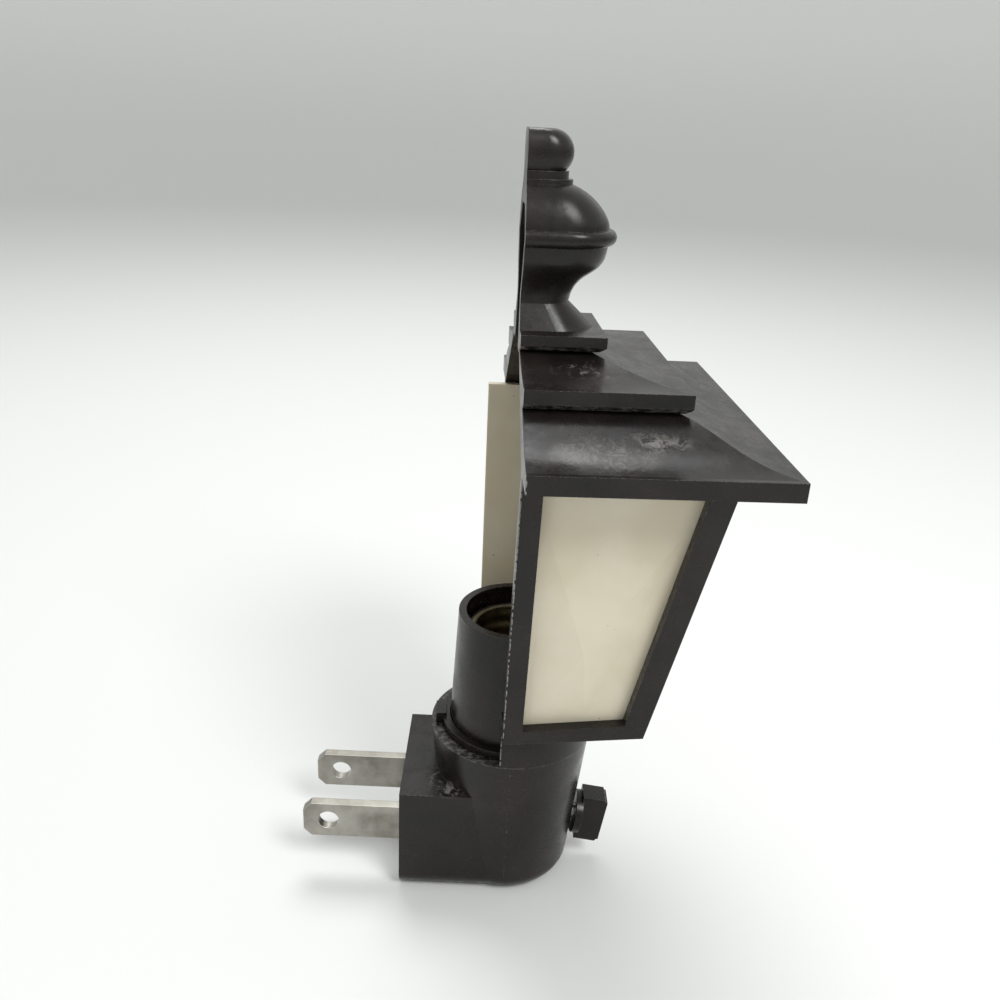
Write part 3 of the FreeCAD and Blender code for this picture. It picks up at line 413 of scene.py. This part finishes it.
def makeMetal(name):
    setting = metals[name]
    material, tree, shader, place = startMaterial(name)
    edges, soft = edgesOf(tree, setting["edge"])
    cloud = noiseOf(tree, place, setting["patch"], *metalWear["patchNoise"])
    lines = noiseOf(tree, place, *metalWear["lineNoise"])
    worn = rangeOf(tree, edges, *metalWear["wornRange"])
    tarnish = sumOf(tree, "SUBTRACT", rangeOf(tree, cloud, *metalWear["tarnishRange"]), worn, clamp=True)
    tint = mixOf(tree, tarnish, setting["color"], setting["dull"])
    bright = tuple(min(1.0, channel * metalWear["wornGain"]) for channel in setting["color"])
    tree.links.new(mixOf(tree, worn, tint, bright), shader.inputs["Base Color"])
    shader.inputs["Metallic"].default_value = 1.0
    dulled = sumOf(tree, "MULTIPLY", tarnish, metalWear["tarnishRough"])
    rough = rangeOf(tree, sumOf(tree, "ADD", lines, dulled), *metalWear["roughRange"], *setting["rough"])
    tree.links.new(rough, shader.inputs["Roughness"])
    grain = bumpOf(tree, lines, metalWear["grain"], soft, metalWear["grainStrength"])
    tree.links.new(grain, shader.inputs["Normal"])
    return material


# brown moulded insulator inside the socket and the switch

insulator = {"color": (0.10, 0.055, 0.035), "pale": (0.17, 0.10, 0.06), "rough": 0.5, "roughSpread": 0.2,
             "cloudNoise": (0.8, 6.0, 0.6), "paleRange": (0.35, 0.65), "roughRange": (0.3, 0.7),
             "grainScale": 4.0, "grain": 0.02, "grainStrength": 0.6}


def makeInsulator():
    material, tree, shader, place = startMaterial("insulatorBrown")
    cloud = noiseOf(tree, place, *insulator["cloudNoise"])
    paled = rangeOf(tree, cloud, *insulator["paleRange"])
    tree.links.new(mixOf(tree, paled, insulator["color"], insulator["pale"]), shader.inputs["Base Color"])
    rough = rangeOf(tree, cloud, *insulator["roughRange"], insulator["rough"],
                    insulator["rough"] + insulator["roughSpread"])
    tree.links.new(rough, shader.inputs["Roughness"])
    fine = noiseOf(tree, place, insulator["grainScale"])
    grain = bumpOf(tree, fine, insulator["grain"], None, insulator["grainStrength"])
    tree.links.new(grain, shader.inputs["Normal"])
    return material


def pieceOf(name, mesh, material, body):
    piece = bpy.data.objects.new(name, mesh)
    bpy.context.collection.objects.link(piece)
    mesh.materials.append(materials[material])
    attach(piece, body)
    return piece


# socket shell with its rolled thread, in mm

thread = {"pitch": 2.54, "deep": 0.30, "thick": 0.14, "around": 96, "perTurn": 14, "rim": 0.35,
          "rimInset": 0.05, "rimBevel": 0.1, "lipBevel": 0.12}


def makeThreadedShell():
    low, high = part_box("screw_shell")
    axisX, axisY = (low[0] + high[0]) / 2, (low[1] + high[1]) / 2
    socket = [item for item in frame["record"]["mounts"] if item["name"] == "bulb_socket"][0]
    bore = socket["dims"]["r_mm"] * mm
    rimRadius = (high[0] - low[0]) / 2
    tall = high[2] - low[2] - thread["rim"] * mm
    rows = int(tall / (thread["pitch"] * mm) * thread["perTurn"])
    count = thread["around"]
    turns = [2 * math.pi * step / count for step in range(count)]
    inside = bore + (thread["rim"] - thread["thick"]) * mm
    outer, inner = [], []
    for row in range(rows + 1):
        level = low[2] + tall * row / rows
        ends = min(row, rows - row, thread["perTurn"]) / thread["perTurn"]  # the thread fades at both ends
        ringOut, ringIn = [], []
        for angle in turns:
            phase = 2 * math.pi * (level - low[2]) / (thread["pitch"] * mm) - angle
            wave = thread["deep"] * mm * ends * (0.5 + 0.5 * math.sin(phase))
            radius = inside - wave
            for ring, reach in ((ringOut, radius + thread["thick"] * mm), (ringIn, radius)):
                ring.append((axisX + reach * math.cos(angle), axisY + reach * math.sin(angle), level))
        outer.append(ringOut)
        inner.append(ringIn)
    top = high[2]
    inset, bevel, lip = (thread[key] * mm for key in ("rimInset", "rimBevel", "lipBevel"))
    rim = [[(axisX + reach * math.cos(angle), axisY + reach * math.sin(angle), level) for angle in turns]
           for reach, level in ((rimRadius - inset, low[2] + tall), (rimRadius, low[2] + tall + bevel),
                                (rimRadius, top - bevel), (rimRadius - lip, top),
                                (inside + lip, top), (inside, top - lip))]
    rings = outer + rim + inner[::-1]
    faces = []
    for one in range(len(rings)):
        two = (one + 1) % len(rings)
        for step in range(count):
            after = (step + 1) % count
            faces.append((one * count + step, one * count + after, two * count + after, two * count + step))
    mesh = bpy.data.meshes.new("threadedShell")
    mesh.from_pydata([point for ring in rings for point in ring], [], faces)
    mesh.polygons.foreach_set("use_smooth", [True] * len(faces))
    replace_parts(pieceOf("threadedShell", mesh, "shellBrass", "plug"), "screw_shell")


# near pane: the solid's plate, with its low facets laid out as on the real one
# shares run from the plate's back edge to its front edge and from its foot to its top, lengths in mm

relief = {"left": 0.16, "right": 0.90, "top": 0.80, "low": 0.03, "foot": 0.62, "peakAcross": 0.50,
          "peakUp": 0.33, "tall": 0.75, "weld": 0.001, "flatAngle": 0.2, "plateBand": 0.3}


def makePane(node, piece):
    mesh = frame["nodes"][node].data.copy()
    work = bmesh.new()
    work.from_mesh(mesh)
    bmesh.ops.remove_doubles(work, verts=work.verts, dist=relief["weld"] * mm)
    bmesh.ops.dissolve_limit(work, angle_limit=math.radians(relief["flatAngle"]), verts=work.verts,
                             edges=work.edges)
    work.normal_update()
    outward = max(work.faces, key=lambda face: face.calc_area()).normal * -1
    peak = max(work.verts, key=lambda vert: vert.co.dot(outward))
    rim = [edge.other_vert(peak) for edge in peak.link_edges]
    plate = [vert for vert in work.verts if vert is not peak and vert not in rim]
    level = max(vert.co.dot(outward) for vert in plate)
    corners = [vert for vert in plate if vert.co.dot(outward) > level - relief["plateBand"] * mm]
    if len(rim) != 4 or len(corners) != 4:
        raise ValueError("the pane's solid no longer has four facets on a plate of four corners")

    def ordered(verts):  # back low, front low, back high, front high
        rising = sorted(verts, key=lambda vert: vert.co.z)
        return [vert for pair in (rising[:2], rising[2:])
                for vert in sorted(pair, key=lambda vert: -vert.co.y)]

    spots = [vert.co.copy() for vert in ordered(corners)]

    def at(across, up):
        bottom = spots[0].lerp(spots[1], across)
        return bottom.lerp(spots[2].lerp(spots[3], across), up)

    places = (("left", "low"), ("foot", "low"), ("left", "top"), ("right", "top"))
    for vert, (across, up) in zip(ordered(rim), places):
        vert.co = at(relief[across], relief[up])
    peak.co = at(relief["peakAcross"], relief["peakUp"]) + outward * relief["tall"] * mm
    work.to_mesh(mesh)
    work.free()
    mesh.materials.clear()
    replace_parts(pieceOf(piece, mesh, "ivoryPlastic", "shade"), node)


# torn flash along the shade's back edges: small flakes of plastic left from the mould, in mm
# a run is its two ends, across and up, and the share of places that carry a flake

flash = {"axis": (0, -17.1), "yaw": 3.0, "back": 14.7, "seed": 7, "step": 0.9, "reach": (0.10, 0.38),
         "thick": 0.12, "inset": 0.25, "jitter": 0.6, "span": (0.5, 1.3), "shoulder": (0.5, 1.0),
         "runs": (((-23.0, 67.3), (-15.9, 24.0), 1.0), ((23.0, 67.3), (15.9, 24.0), 0.6),
                  ((-13.1, 22.8), (-13.1, 16.9), 0.8), ((-28.7, 69.9), (-28.7, 67.6), 0.8))}


def shadePoint(across, depth, level):  # shade's own across and depth, turned with it
    angle = math.radians(flash["yaw"])
    x, y = across - flash["axis"][0], -depth - flash["axis"][1]
    return Vector((x * math.cos(angle) - y * math.sin(angle) + flash["axis"][0],
                   x * math.sin(angle) + y * math.cos(angle) + flash["axis"][1], level)) * mm


def makeFlash():
    pick = random.Random(flash["seed"])
    points, faces = [], []
    inset, thick = flash["inset"], flash["thick"]
    for (startX, startZ), (endX, endZ), share in flash["runs"]:
        length = math.hypot(endX - startX, endZ - startZ)
        count = int(length / flash["step"])
        out = -1 if startX < 0 else 1
        for number in range(count):
            if pick.random() > share:
                continue
            at = (number + pick.random() * flash["jitter"]) / count
            span = pick.uniform(*flash["span"]) * flash["step"] / length
            reach = pick.uniform(*flash["reach"])
            shoulder = pick.uniform(*flash["shoulder"])
            outline = ((0, 0.2), (0.35, 1.0), (0.7, shoulder), (1, 0.15))  # shares of length and of reach
            base = len(points)
            for part, wide in outline:
                along = min(1.0, at + span * part)
                x = startX + (endX - startX) * along
                z = startZ + (endZ - startZ) * along
                tip = reach * wide
                for shift, depth in ((-inset, 0), (tip, 0), (tip, thick), (-inset, thick * 2)):
                    points.append(shadePoint(x + out * shift, flash["back"] + depth, z))
            for row in range(3):
                first = base + row * 4
                for side in range(4):
                    after = (side + 1) % 4
                    faces.append((first + side, first + after, first + 4 + after, first + 4 + side))
            faces.append((base + 3, base + 2, base + 1, base))
            faces.append((base + 12, base + 13, base + 14, base + 15))
    mesh = bpy.data.meshes.new("mouldFlash")
    mesh.from_pydata(points, [], faces)
    work = bmesh.new()
    work.from_mesh(mesh)
    bmesh.ops.recalc_face_normals(work, faces=work.faces)
    work.to_mesh(mesh)
    work.free()
    pieceOf("mouldFlash", mesh, "paleFlash", "shade")


# which material each node of the solids wears

looks = {
    "shadeDark": ["lantern_shell"],
    "plugDark": ["rear_housing", "front_housing", "socket_sleeve", "switch_knob", "turn_ring"],
    "ivoryPlastic": ["near_pane", "far_pane", "front_pane"],
    "bladeNickel": ["left_blade", "right_blade"],
    "shellBrass": ["centre_contact"],
    "strapBrass": ["live_strap", "neutral_strap", "lamp_strap", "contact_bridge"],
    "springSteel": ["switch_shaft", "shaft_clip", "spring_washer"],
    "insulatorBrown": ["base_insulator", "switch_rotor"]}


def dressNodes():
    for name, nodes in looks.items():
        for node in nodes:
            for place in frame["nodes"][node].material_slots:
                place.link = "OBJECT"
                place.material = materials[name]


makeCamera()
makeStudio()
print("camera and studio made")
materials = {name: makeMetal(name) for name in metals}
materials["ivoryPlastic"] = makeIvory()
materials["insulatorBrown"] = makeInsulator()
for darkName in paleMarksAndSheen:
    materials[darkName] = makeDarkPlastic(darkName)
print("materials made:", len(materials))
dressNodes()
makeThreadedShell()
makeFlash()
makePane("near_pane", "nearPane")
print("pieces made")
